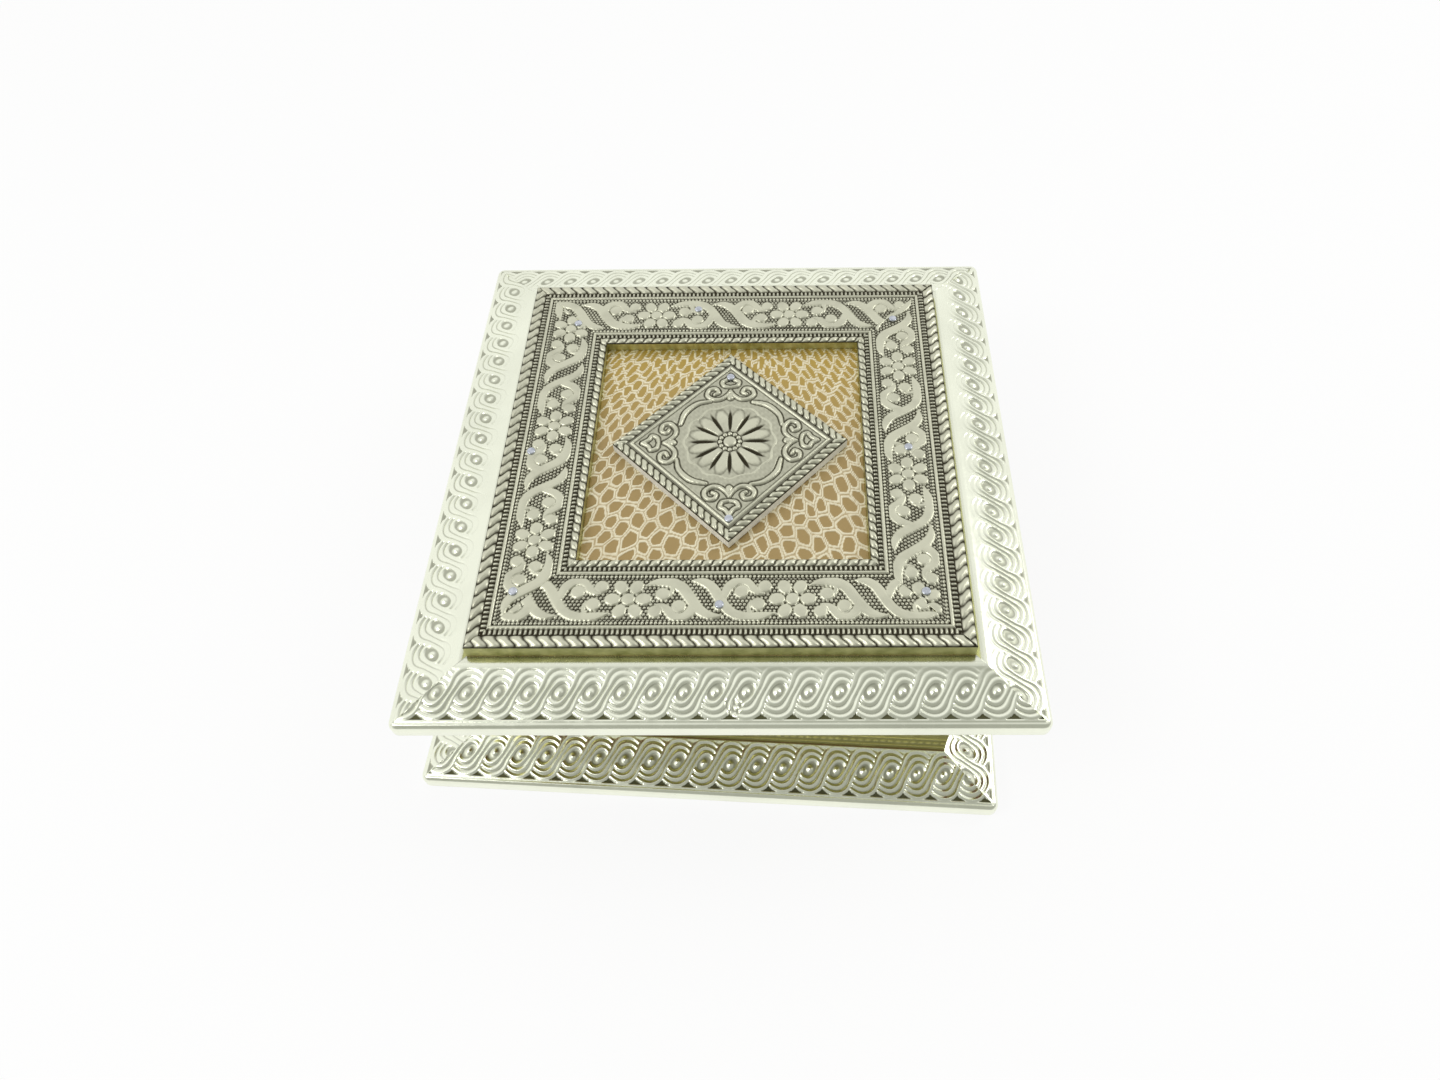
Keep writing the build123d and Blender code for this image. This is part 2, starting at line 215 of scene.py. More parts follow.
def scroll_height(u, v):
    """Height of flowers and scrolls over the beaded ground, u along the strip within one repeat and v
    across it. Leaves are flat with a faint crown, and a thin groove runs round each bud."""
    nearest = np.full(u.shape, 9.0)
    outline = np.full(u.shape, 9.0)
    for shift in (-SCROLL_REPEAT, 0.0, SCROLL_REPEAT):
        x = u - shift
        nearest = np.minimum(nearest, outside_of_strokes(x, v, SCROLL_LEAVES))
        nearest = np.minimum(nearest, np.hypot(x, v) - FLOWER_DISC)
        nearest = np.minimum(nearest, outside_of_petals(x, v, 6, PETAL_MIDDLE, PETAL_LENGTH, PETAL_WIDTH))
        for bx, by, radius in SCROLL_BUDS:
            away = np.hypot(x - bx, v - by)
            nearest = np.minimum(nearest, away - radius)
            outline = np.minimum(outline, abs(away - radius))
    flat = 0.9 * smooth_step(-nearest, -0.2, RELIEF_EDGE) + 0.1 * smooth_step(-nearest, 0.3, 1.2)
    return flat - 0.24 * smooth_step(0.28 - outline, 0.0, 0.2) * (nearest < 0)


# The bands of a frame strip from its outer edge inward: where each ends
ROPE_END = 4.2
RIBS_END = 6.3
LINE_END = 7.6
BEADS_END = 9.0
SCROLL_END = 24.2
INNER_BEADS_END = 25.6
INNER_LINE_END = 26.9
INNER_RIBS_END = 28.7
ROPE_PITCH = 4.3
INNER_ROPE_PITCH = 3.4
RIB_PITCH = 1.6
BEAD_PITCH = 1.4
BEAD_RADIUS = 0.64
GROUND_PITCH = 1.35


def rope_height(along, across, width, pitch, lean):
    """Height of a twisted rope lying along the edge: leaning lobes with sharp grooves, round across."""
    t = np.clip(across / width, 0, 1)
    strand = (along / pitch - lean * (t - 0.5) - 0.1 * np.sin(2 * np.pi * t)) % 1.0
    lobe = np.sin(np.pi * strand) ** 0.7
    return lobe * np.clip(1 - (2 * t - 1) ** 2, 0, 1) ** 0.45


def rib_height(along, across, width):
    """Height of a row of short bars across the band."""
    bar = np.clip(0.5 + 0.75 * np.cos(2 * np.pi * along / RIB_PITCH), 0, 1)
    return 0.62 * bar * smooth_step(np.minimum(across, width - across), 0.0, 0.4)


def line_height(across, width):
    """Height of a plain raised line, round across."""
    return 0.88 * np.clip(1 - (2 * across / width - 1) ** 4, 0, 1)


def bead_height(along, across, width):
    """Height of a row of half balls."""
    nearest = (along / BEAD_PITCH) % 1.0 - 0.5
    return 0.75 * dome(np.hypot(nearest * BEAD_PITCH, across - width / 2), BEAD_RADIUS)


def beaded_ground(along, across):
    """Height of the ground between the scrolls: small half balls in staggered rows."""
    row = np.floor(across / (GROUND_PITCH * 0.87))
    x = ((along / GROUND_PITCH + 0.5 * (row % 2)) % 1.0 - 0.5) * GROUND_PITCH
    y = across - (row + 0.5) * GROUND_PITCH * 0.87
    return 0.62 * dome(np.hypot(x, y), 0.62)


def strip_height(along, inward, first_flower, repeat):
    """Height of a frame strip, between 0 and 1, from its distance along the side and from its outer edge."""
    u = ((along - first_flower) / repeat * SCROLL_REPEAT) % SCROLL_REPEAT
    v = inward - (BEADS_END + SCROLL_END) / 2
    height = np.maximum(beaded_ground(along, v), scroll_height(u, v))

    def band(low, high, draw):
        return np.where((inward >= low) & (inward < high), draw(inward - low, high - low), height)

    def ribs(across, width):
        return rib_height(along, across, width)

    def beads(across, width):
        return bead_height(along, across, width)

    height = band(0.0, ROPE_END, lambda across, width: rope_height(along, across, width, ROPE_PITCH, -0.55))
    height = band(ROPE_END, RIBS_END, ribs)
    height = band(RIBS_END, LINE_END, line_height)
    height = band(LINE_END, BEADS_END, beads)
    height = band(SCROLL_END, INNER_BEADS_END, beads)
    height = band(INNER_BEADS_END, INNER_LINE_END, line_height)
    height = band(INNER_LINE_END, INNER_RIBS_END, ribs)
    height = band(INNER_RIBS_END, STRIP_WIDTH + 0.001,
                  lambda across, width: rope_height(along, across, width, INNER_ROPE_PITCH, 0.75))
    return height


# The plaque's ornament, one quarter of it: the leaves and curls towards one corner
PLAQUE_ROPE = 3.4
PLAQUE_LINE_START = 4.2
PLAQUE_LINE_END = 5.3
QUARTER_LEAVES = (
    ((18.7, 7.4, 0.35), (17.6, 12.0, 0.6), (13.6, 16.3, 0.75), (8.2, 18.0, 0.4)),
    ((23.6, 0.0, 0.3), (21.6, 1.2, 0.4), (19.6, 3.6, 0.5), (19.6, 6.4, 0.55), (21.6, 8.6, 0.55),
     (24.2, 7.8, 0.5), (24.6, 5.4, 0.5), (22.8, 4.4, 0.45), (21.9, 5.8, 0.4)),
    ((23.6, 0.0, 0.3), (21.6, -1.2, 0.4), (19.6, -3.6, 0.5), (19.6, -6.4, 0.55), (21.6, -8.6, 0.55),
     (24.2, -7.8, 0.5), (24.6, -5.4, 0.5), (22.8, -4.4, 0.45), (21.9, -5.8, 0.4)),
    ((25.4, 0.3, 0.35), (26.0, 2.4, 0.5), (27.9, 3.1, 0.5), (29.0, 1.4, 0.5), (31.2, 0.0, 0.45)),
    ((25.4, -0.3, 0.35), (26.0, -2.4, 0.5), (27.9, -3.1, 0.5), (29.0, -1.4, 0.5), (31.2, 0.0, 0.45)),
    ((20.2, 0.0, 0.9), (21.4, 0.0, 0.5)),
)
DAISY_PETALS = 12
DAISY_RING = 3.5


def plaque_height(x, y):
    """Height of the plaque, between 0 and 1. x and y run along its edges; the ornament is drawn on axes
    turned by an eighth so that it points at the corners, and is the same in each quarter."""
    edge = HALF_PLAQUE - np.maximum(abs(x), abs(y))
    along = np.where(abs(x) > abs(y), y * np.sign(x), -x * np.sign(y))
    a, b = (x + y) / math.sqrt(2), (y - x) / math.sqrt(2)
    nearest = np.full(x.shape, 9.0)
    for quarter in range(4):
        nearest = np.minimum(nearest, outside_of_strokes(a, b, QUARTER_LEAVES, 0.4))
        a, b = b, -a
    height = 0.52 + 0.05 * ripple(x, y, 1.7, 3.1) + 0.4 * smooth_step(-nearest, -0.3, 0.2)
    height = height - 0.34 * smooth_step(0.4 - abs(nearest - 0.55), 0.0, 0.3)
    away = np.hypot(a, b)
    petals = outside_of_petals(a, b, DAISY_PETALS, 9.4, 5.2, 2.25, math.pi / DAISY_PETALS)
    height = height + 0.15 * smooth_step(-petals, 0.0, 0.9)
    height = height - 0.14 * smooth_step(0.45 - abs(petals - 0.2), 0, 0.4)
    slots = outside_of_petals(a, b, DAISY_PETALS, 9.4, 4.7, 0.72)
    height = height * (1 - 0.9 * smooth_step(-slots, -0.2, 0.3))
    scallop = 15.9 + 0.5 * np.cos(DAISY_PETALS * np.arctan2(b, a))
    height = height + 0.2 * smooth_step(0.55 - abs(away - scallop), 0.0, 0.5)
    spoke = np.arctan2(b, a) * 12 / (2 * math.pi)
    bead = np.hypot(away - DAISY_RING, (spoke - np.round(spoke)) * 2 * math.pi * DAISY_RING / 12)
    height = np.where(away < DAISY_RING + 1.0, 0.15 + 0.6 * dome(bead, 0.85), height)
    height = np.where(away < 2.3, 0.35 + 0.65 * dome(away, 2.3), height)
    height = np.where(edge < PLAQUE_LINE_END + 0.5, 0.3, height)
    line = line_height(edge - PLAQUE_LINE_START, PLAQUE_LINE_END - PLAQUE_LINE_START)
    height = np.maximum(height, np.where((edge > PLAQUE_LINE_START) & (edge < PLAQUE_LINE_END), line, 0))
    rope = rope_height(along, edge, PLAQUE_ROPE, 3.2, -0.7)
    return np.where(edge < PLAQUE_ROPE, rope, height)


def grid_faces(rows, columns, first=0):
    """Quads of a grid of points that are numbered row by row."""
    i = np.arange(rows - 1)[:, None] * columns + np.arange(columns - 1) + first
    return np.stack((i, i + 1, i + columns + 1, i + columns), -1).reshape(-1, 4)


def make_mesh(name, points, quads, rings=(), relief=None, smooth=True):
    """A mesh object from quads and a few larger faces, with the relief kept as a point attribute."""
    mesh = bpy.data.meshes.new(name)
    flat = np.concatenate([quads.ravel()] + [np.asarray(ring) for ring in rings])
    totals = np.concatenate([np.full(len(quads), 4), [len(ring) for ring in rings]]).astype(np.int32)
    starts = np.concatenate([[0], np.cumsum(totals)[:-1]]).astype(np.int32)
    mesh.vertices.add(len(points))
    mesh.vertices.foreach_set("co", points.astype(np.float32).ravel())
    mesh.loops.add(len(flat))
    mesh.loops.foreach_set("vertex_index", flat.astype(np.int32))
    mesh.polygons.add(len(totals))
    mesh.polygons.foreach_set("loop_start", starts)
    mesh.polygons.foreach_set("loop_total", totals)
    shade = np.zeros(len(totals), bool)
    shade[: len(quads)] = smooth
    mesh.polygons.foreach_set("use_smooth", shade)
    if relief is not None:
        layer = mesh.attributes.new("relief", "FLOAT", "POINT")
        layer.data.foreach_set("value", relief.astype(np.float32).ravel())
    mesh.validate()
    mesh.update()
    obj = bpy.data.objects.new(name, mesh)
    bpy.context.scene.collection.objects.link(obj)
    return obj


def sheet_solid(name, top, bottom_corners, relief):
    """A closed sheet: a grid of top points, four walls down to a flat bottom with four corners. The
    corners run the same way round as the grid's own: first row start, first row end, last row end,
    last row start."""
    rows, columns = top.shape[:2]
    index = np.arange(rows * columns).reshape(rows, columns)
    base = rows * columns
    edges = (index[0, :], index[:, -1], index[-1, ::-1], index[::-1, 0])
    rings = [np.concatenate((edge[::-1], [base + i, base + (i + 1) % 4])) for i, edge in enumerate(edges)]
    rings.append(np.array([base + 3, base + 2, base + 1, base]))
    points = np.vstack((top.reshape(-1, 3), bottom_corners))
    values = np.concatenate((relief.ravel(), np.full(4, 0.4)))
    return make_mesh(name, points, grid_faces(rows, columns), rings, values)


def finish_piece(obj, body, slot, material, *nodes):
    """Hangs a finished piece on its body, in place of CAD nodes, with its material."""
    obj.data.materials.append(material)
    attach(obj, body)
    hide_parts(*nodes)
    return obj


# Homes of the parts, and the sizes they are built to in the model
BASE_HOME = Home(0.0, 0.0, 0.0, 0.0)
LID_HOME = Home(2.7, 0.4, 3.0, 59.5)
PLAQUE_HOME = LID_HOME.turned(0.8, 0.1, 46.1)

HALF_PLATE = 101.5
HALF_FLAT = 83.0
PLATE_TOP = 11.3
TURN_UNDER = 12.0
RIM_STEPS = 8
FOOT_STEPS = 7
SLOPE = (PLATE_TOP - RIM_HEIGHT) / (HALF_PLATE - HALF_FLAT)
HALF_FRAME = 79.5
HALF_OPENING = 48.2
STRIP_WIDTH = HALF_FRAME - HALF_OPENING
RAIL_TOP = 16.5
FRAME_TOP = 17.7
PANEL_BOARD_TOP = 12.6
PANEL_TOP = 13.4
PLAQUE_BLOCK_TOP = 16.75
PLAQUE_TOP = 17.95
HALF_PLAQUE = 29.5
WALL_FOIL = 0.5
LIP_THICK = 0.04
CAST_DEPTH = 0.95
SKIN_DEPTH = 0.3
# Down the slope of a plate: where the foil leaves the flat's level, where the wave fades in and out and
# where the line above the rim lies
LEAVE_FLAT = 1.6
WAVE_IN = (0.4, 0.9)
WAVE_OUT = (16.2, 16.8)
RIM_LINE = 17.2
# Levels of the foil that its colour follows: the plain lip, the bottom of the lines, the notches at the
# front and those of the other sides. The lower levels are painted shade in the grooves and notches, and the
# front's notches get darker painted shade than the other sides'
LIP_LEVEL = 0.56
LINE_SHADE_LEVEL = 0.27
FRONT_NOTCH_SHADE_LEVEL = 0.0
NOTCH_SHADE_LEVEL = 0.25
# Where the running wave lies on each side: one eye's place, its scale along the side, and how far down
# the slope the row of eyes is
BANDS = {
    ("lid", "front"): (-1.35, 1.0, 7.9),
    ("lid", "right"): (4.4, 1.0, 9.2),
    ("lid", "back"): (2.0, 1.0, 8.4),
    ("lid", "left"): (1.0, 1.0, 9.0),
    ("base", "front"): (-1.4, 0.976, 8.2),
    ("base", "right"): (3.0, 0.98, 8.6),
    ("base", "back"): (0.5, 0.98, 8.4),
    ("base", "left"): (-2.0, 0.98, 8.6),
}
# One flower's place on each frame strip, and the spacing of the flowers there
FLOWERS = {"front": (-29.7, 52.4), "back": (-22.2, 52.2), "left": (-55.9, 48.3), "right": (-14.4, 49.7)}
# The frame's nails: side, place along it, and how far each strays along it and outward
NAILS = (
    ("front", -63.85, -2.9, -3.6), ("front", 0, -0.5, 1.3), ("front", 63.85, 1.3, -3.2),
    ("right", 0, -3.1, 0.0),
    ("back", -63.85, 1.4, -4.3), ("back", 0, 13.6, 1.6), ("back", 63.85, -3.6, -5.6),
    ("left", 0, 4.1, 5.5),
)


def round_corners(x, y):
    """Rounds the corners of a plate in plan: squares round the corner's middle become circles."""
    cx = np.maximum(x - (HALF_PLATE - PLAN_ROUND), 0)
    cy = np.maximum(abs(y) - (HALF_PLATE - PLAN_ROUND), 0)
    away = np.hypot(cx, cy)
    keep = np.where(away > 0, np.maximum(cx, cy) / np.maximum(away, 1e-9), 1.0)
    return x - cx * (1 - keep), y - np.sign(y) * cy * (1 - keep)


# Place along the lid's front, lean and half width of each crease of its dent
DENT_CREASES = ((2.6, 0.35, 0.5), (4.4, -0.15, 0.7), (6.4, -0.5, 0.45))


def front_dent(along, down):
    """Depth of the small dent in the lid's front: short creases that fan out over the rim's line. Each is
    a bell curve across, and comes in and goes out down the slope."""
    depth = np.zeros(np.broadcast(along, down).shape)
    for start, lean, wide in DENT_CREASES:
        across = along - start - lean * (down - 12.5)
        depth = depth + np.exp(-((across / wide) ** 2)) * smooth_step(down, 9.4, 11.0)
    return 0.75 * np.clip(depth, 0, 1) * (1 - smooth_step(down, 14.2, 15.4))


def plate_foil(home, side, grid, depth, band_at, lip=None):
    """The foil over one side of a plate as a closed mitred solid. Its section runs down the slope,
    round the rim and back under the board; the running wave is pressed into the slope. With a lip it
    also reaches inward on the flat to that half size."""
    run = math.hypot(HALF_PLATE - HALF_FLAT, PLATE_TOP - RIM_HEIGHT)
    lean = math.atan(SLOPE)
    back = RIM_ROUND * math.tan((math.pi / 2 - lean) / 2)
    s = np.linspace(0.0, run - back, int((run - back) / grid))
    out = [np.column_stack((HALF_FLAT + s * math.cos(lean), PLATE_TOP - s * math.sin(lean)))]
    if lip is not None:
        out.insert(0, np.array([(lip, PLATE_TOP + LIP_THICK), (HALF_FLAT - 1.2, PLATE_TOP + LIP_THICK)]))
    centre = np.array([HALF_PLATE - RIM_ROUND, RIM_HEIGHT - back])
    turn = np.linspace(math.pi / 2 - lean, 0, RIM_STEPS + 1)[1:]
    out.append(centre + RIM_ROUND * np.column_stack((np.cos(turn), np.sin(turn))))
    turn = np.linspace(0, -math.pi / 2, FOOT_STEPS)
    low = np.array([HALF_PLATE - RIM_ROUND, RIM_ROUND])
    out.append(low + RIM_ROUND * np.column_stack((np.cos(turn), np.sin(turn))))
    board = HALF_PLATE - FOIL_THICK
    upright = FOIL_THICK / math.cos(lean)
    out.append(np.array([
        (HALF_PLATE - TURN_UNDER, 0.0), (HALF_PLATE - TURN_UNDER, FOIL_THICK), (board - 1.0, FOIL_THICK),
        (board, FOIL_THICK + 1.0), (board, RIM_HEIGHT + SLOPE * FOIL_THICK - upright - 1.0),
        (board - 1.0, RIM_HEIGHT + SLOPE * (FOIL_THICK + 1.0) - upright), (HALF_FLAT, PLATE_TOP - upright),
    ]))
    if lip is not None:
        out.append(np.array([(HALF_FLAT - 0.02, PLATE_TOP), (lip, PLATE_TOP)]))
    profile = np.vstack(out)
    start = len(out[0]) if lip is not None else 0
    band = slice(start, start + len(s))
    columns = int(2 * HALF_PLATE / grid)
    t = np.linspace(-1, 1, columns)
    along = profile[band, 0][:, None] * t
    eye, scale, middle = band_at
    across = s[:, None] - middle + 0 * t
    wave, notch = running_wave((along - eye) / scale, -across, WAVE_STRETCH)
    inside = smooth_step(s, *WAVE_IN) * (1 - smooth_step(s, *WAVE_OUT))
    left_flat = smooth_step(s, 0.0, LEAVE_FLAT)
    around = 0.75 + 0.25 * (1 - left_flat) - 0.3 * np.exp(-((s - RIM_LINE) / 0.25) ** 2)
    uneven = 0.05 * ripple(along, across, 23, eye) * left_flat[:, None]
    height = around[:, None] + (wave - 0.75) * inside[:, None] + uneven
    if lip is not None and side == "front":
        height = height - front_dent(along, s[:, None])
    height = np.clip(height, 0, 1)
    level = np.full((len(profile), columns), 1.0)
    level[:start] = LIP_LEVEL
    level[-1] = LIP_LEVEL
    # colour levels follow the height: lower in the grooves, notches, the line above the rim and the dent, as
    # painted shade; darkest in the front's notches
    notch_shade_level = FRONT_NOTCH_SHADE_LEVEL if side == "front" else NOTCH_SHADE_LEVEL
    level[band] = np.where(notch, notch_shade_level, LINE_SHADE_LEVEL + (1 - LINE_SHADE_LEVEL) * height)
    r = profile[:, 0][:, None] + np.zeros(columns)
    z = profile[:, 1][:, None] + np.zeros(columns)
    sink = depth * (1 - height)
    r[band] -= sink * math.sin(lean)
    z[band] -= sink * math.cos(lean)
    x, y = round_corners(r, r * t)
    points = home.place(x, y, z + home.low, side)
    rows = len(profile)
    quads = grid_faces(rows, columns)
    first = np.arange(columns - 1) + (rows - 1) * columns
    close = np.column_stack((first, first + 1, np.arange(columns - 1) + 1, np.arange(columns - 1)))
    quads = np.vstack((quads, close))[:, ::-1]
    ends = np.arange(rows) * columns
    caps = [ends[::-1], ends + columns - 1]
    outer = np.arange(len(quads)) < (start + len(s) + RIM_STEPS + FOOT_STEPS) * (columns - 1)
    return make_mesh("foil", points.reshape(-1, 3), quads, caps, level, outer)


def frame_strip(home, side, grid):
    """One mitred cast strip of the frame as a closed solid, its relief cut below the top."""
    rows = int(STRIP_WIDTH / grid)
    columns = int(2 * HALF_FRAME / grid)
    inward = np.linspace(0, STRIP_WIDTH, rows)[:, None]
    t = np.linspace(-1, 1, columns)
    r = HALF_FRAME - inward + 0 * t
    along = r * t
    first, repeat = FLOWERS[side]
    height = strip_height(along, inward + 0 * along, first, repeat)
    height = height + 0.05 * ripple(along, r, 11, len(side))
    for where, end, shift, out in NAILS:
        if where == side:
            away = np.hypot(along - end - shift, r - (HALF_FRAME + HALF_OPENING) / 2 - out)
            height = height + (1 - height) * smooth_step(2.2 - away, 0.0, 0.6)
    height = np.clip(height, 0, 1)
    z = FRAME_TOP - CAST_DEPTH * (1 - height) + home.low
    top = home.place(r, along, z, side)
    corners = ((HALF_FRAME, -HALF_FRAME), (HALF_FRAME, HALF_FRAME), (HALF_OPENING, HALF_OPENING),
               (HALF_OPENING, -HALF_OPENING))
    bottom = np.array([home.place(a, b, RAIL_TOP + home.low, side) for a, b in corners])
    return sheet_solid("strip", top, bottom, height)


def square_sheet(home, half, low, high, depth, grid, draw):
    """A square sheet as a closed solid, its top drawn by a height function of x and y."""
    count = int(2 * half / grid)
    line = np.linspace(-half, half, count)
    x, y = np.meshgrid(line, line)
    height = np.clip(draw(x, y), 0, 1)
    top = home.place(x, y, high - depth * (1 - height) + home.low)
    corners = ((-half, -half), (half, -half), (half, half), (-half, half))
    bottom = np.array([home.place(a, b, low + home.low) for a, b in corners])
    return sheet_solid("sheet", top, bottom, height)


SKIN_WIDE = 3.7
SKIN_LONG = 6.8


def skin_height(x, y):
    """Height of the panel's crackled skin: cells round scattered points of a bent grid, longer one way,
    with raised double outlines. A cell's edge is where the two nearest points are equally far."""
    bent_x = (x + 0.8 * ripple(x, y, 17, 1.7)) / (1 - 0.008 * y)
    bent_y = y + 0.8 * ripple(x, y, 15, 4.1)
    u, v = bent_x / SKIN_WIDE, bent_y / SKIN_LONG
    near = np.full((2,) + x.shape, 9.0)
    for i in (-1, 0, 1):
        for j in (-1, 0, 1):
            a, b = np.floor(u) + i, np.floor(v) + j
            hash_a = np.sin(a * 127.1 + b * 311.7) * 43758.5453
            hash_b = np.sin(a * 269.5 + b * 183.3) * 43758.5453
            px, py = a + 0.5 + 0.45 * (hash_a % 1.0 - 0.5), b + 0.5 * (a % 2) + 0.4 * (hash_b % 1.0 - 0.5)
            away = np.hypot(u - px, (v - py))
            near[1] = np.minimum(near[1], np.maximum(near[0], away))
            near[0] = np.minimum(near[0], away)
    edge = near[1] - near[0]
    ring = smooth_step(edge, 0.06, 0.11) * (1 - smooth_step(edge, 0.22, 0.3))
    gap = 1 - smooth_step(edge, 0.05, 0.1)
    return 0.14 + 0.8 * ring + 0.2 * gap * (1 - ring) + 0.06 * ripple(x, y, 1.3, 0.3)


def wall_foil(home, side, low, high, half):
    """One wall's foil as a closed solid: raised lines and a bead row run round near foot and head."""
    rows, columns = 96, 300
    z = np.linspace(low, high, rows)[:, None]
    along = np.linspace(-half, half, columns) + 0 * z
    z = z + 0 * along
    height = 0.45 + 0.12 * ripple(along, z, 9, 2.0)
    for level in (low + 3.0, low + 9.5, high - 9.5, high - 3.0):
        height = np.maximum(height, 1 - ((z - level) / 0.8) ** 2)
    for level in (low + 6.2, high - 6.2):
        spot = ((along / 2.6) % 1.0 - 0.5) * 2.6
        height = np.maximum(height, 0.45 + 0.5 * dome(np.hypot(spot, z - level), 1.1))
    height = np.clip(height, 0, 1)
    outward = HALF_FLAT - 0.35 * (1 - height)
    top = home.place(outward, along, z, side)
    inner = HALF_FLAT - WALL_FOIL
    corners = ((-half, low), (half, low), (half, high), (-half, high))
    bottom = np.array([home.place(inner, a, b, side) for a, b in corners])
    return sheet_solid("wall_foil", top, bottom, height)


def srgb(red, green, blue):
    """A colour given as it is seen, 0 to 255, as the linear values a shader takes."""
    c = np.array([red, green, blue]) / 255
    linear = np.where(c <= 0.04045, c / 12.92, ((c + 0.055) / 1.055) ** 2.4)
    return (float(linear[0]), float(linear[1]), float(linear[2]), 1.0)


class Sketch:
    """Builds a node tree: nodes made and wired in one call each."""

    def __init__(self, tree):
        self.tree = tree
        self.count = 0

    def add(self, kind, settings=None, **sockets):
        node = self.tree.nodes.new(kind)
        node.location = (220 * (self.count % 8), -240 * (self.count // 8))
        self.count += 1
        for name, value in (settings or {}).items():
            setattr(node, name, value)
        for name, value in sockets.items():
            self.join(node.inputs[name.replace("_", " ")], value)
        return node

    def join(self, socket, value):
        if isinstance(value, bpy.types.NodeSocket):
            self.tree.links.new(value, socket)
        else:
            socket.default_value = value

    def mix(self, factor, a, b):
        node = self.add("ShaderNodeMix", {"data_type": "RGBA"})
        self.join(node.inputs[0], factor)
        self.join(node.inputs[6], a)
        self.join(node.inputs[7], b)
        return node.outputs[2]

    def math(self, operation, a, b=0.0, clamp=False):
        node = self.add("ShaderNodeMath", {"operation": operation, "use_clamp": clamp})
        self.join(node.inputs[0], a)
        self.join(node.inputs[1], b)
        return node.outputs[0]

    def ramp(self, value, low, high, start=0.0, end=1.0):
        node = self.add("ShaderNodeMapRange", Value=value, From_Min=low, From_Max=high, To_Min=start,
                        To_Max=end)
        return node.outputs[0]


def new_group(name, inputs, outputs):
    """An empty node group with sockets of (name, type, value) and outputs of (name, type)."""
    tree = bpy.data.node_groups.new(name, "ShaderNodeTree")
    for title, kind, value in inputs:
        socket = tree.interface.new_socket(title, in_out="INPUT", socket_type=kind)
        socket.default_value = value
    for title, kind in outputs:
        tree.interface.new_socket(title, in_out="OUTPUT", socket_type=kind)
    sketch = Sketch(tree)
    return sketch, tree.nodes.new("NodeGroupInput").outputs, tree.nodes.new("NodeGroupOutput").inputs


def tarnish_and_shade_group():
    """Metal that is bright where it stands proud and dark in its recesses, with uneven patches. The dark
    recesses are tarnish on the oxidised silver and painted shade on the embossed foil.
    """
    colour, value = "NodeSocketColor", "NodeSocketFloat"
    inputs = (("Bright", colour, (0.8, 0.8, 0.8, 1)), ("Dark", colour, (0.1, 0.1, 0.1, 1)),
              ("Low", value, 0.2), ("High", value, 0.8), ("Patches", value, 0.2), ("Scale", value, 60.0))
    sketch, given, out = new_group("Tarnish and painted shade", inputs, (("Colour", colour), ("Proud", value)))
    place = sketch.add("ShaderNodeTexCoord").outputs["Object"]
    relief = sketch.add("ShaderNodeAttribute", {"attribute_name": "relief"}).outputs["Fac"]
    noise = sketch.add("ShaderNodeTexNoise", Vector=place, Scale=given["Scale"], Detail=4.0).outputs[0]
    shift = sketch.math("MULTIPLY", sketch.math("SUBTRACT", noise, 0.5), given["Patches"])
    proud = sketch.add("ShaderNodeMapRange", Value=sketch.math("ADD", relief, shift))
    sketch.join(proud.inputs["From Min"], given["Low"])
    sketch.join(proud.inputs["From Max"], given["High"])
    film = sketch.math("MULTIPLY", sketch.ramp(noise, 0.45, 0.75), given["Patches"])
    worn = sketch.mix(film, given["Bright"], given["Dark"])
    sketch.join(out["Colour"], sketch.mix(proud.outputs[0], given["Dark"], worn))
    sketch.join(out["Proud"], proud.outputs[0])
    return sketch.tree


def grain_group():
    """Fine unevenness of a surface: a value for colour and roughness, and a normal."""
    value = "NodeSocketFloat"
    inputs = (("Scale", value, 900.0), ("Stretch", value, 1.0), ("Strength", value, 0.2),
              ("Depth", value, 0.0002))
    sketch, given, out = new_group("Grain", inputs, (("Value", value), ("Normal", "NodeSocketVector")))
    place = sketch.add("ShaderNodeTexCoord").outputs["Object"]
    spread = sketch.add("ShaderNodeCombineXYZ", X=given["Stretch"], Y=1.0, Z=1.0).outputs[0]
    scaled = sketch.add("ShaderNodeVectorMath", {"operation": "MULTIPLY"})
    sketch.join(scaled.inputs[0], place)
    sketch.join(scaled.inputs[1], spread)
    noise = sketch.add("ShaderNodeTexNoise", Vector=scaled.outputs[0], Scale=given["Scale"],
                       Detail=5.0).outputs[0]
    bump = sketch.add("ShaderNodeBump", Strength=given["Strength"], Distance=given["Depth"], Height=noise)
    sketch.join(out["Value"], noise)
    sketch.join(out["Normal"], bump.outputs[0])
    return sketch.tree


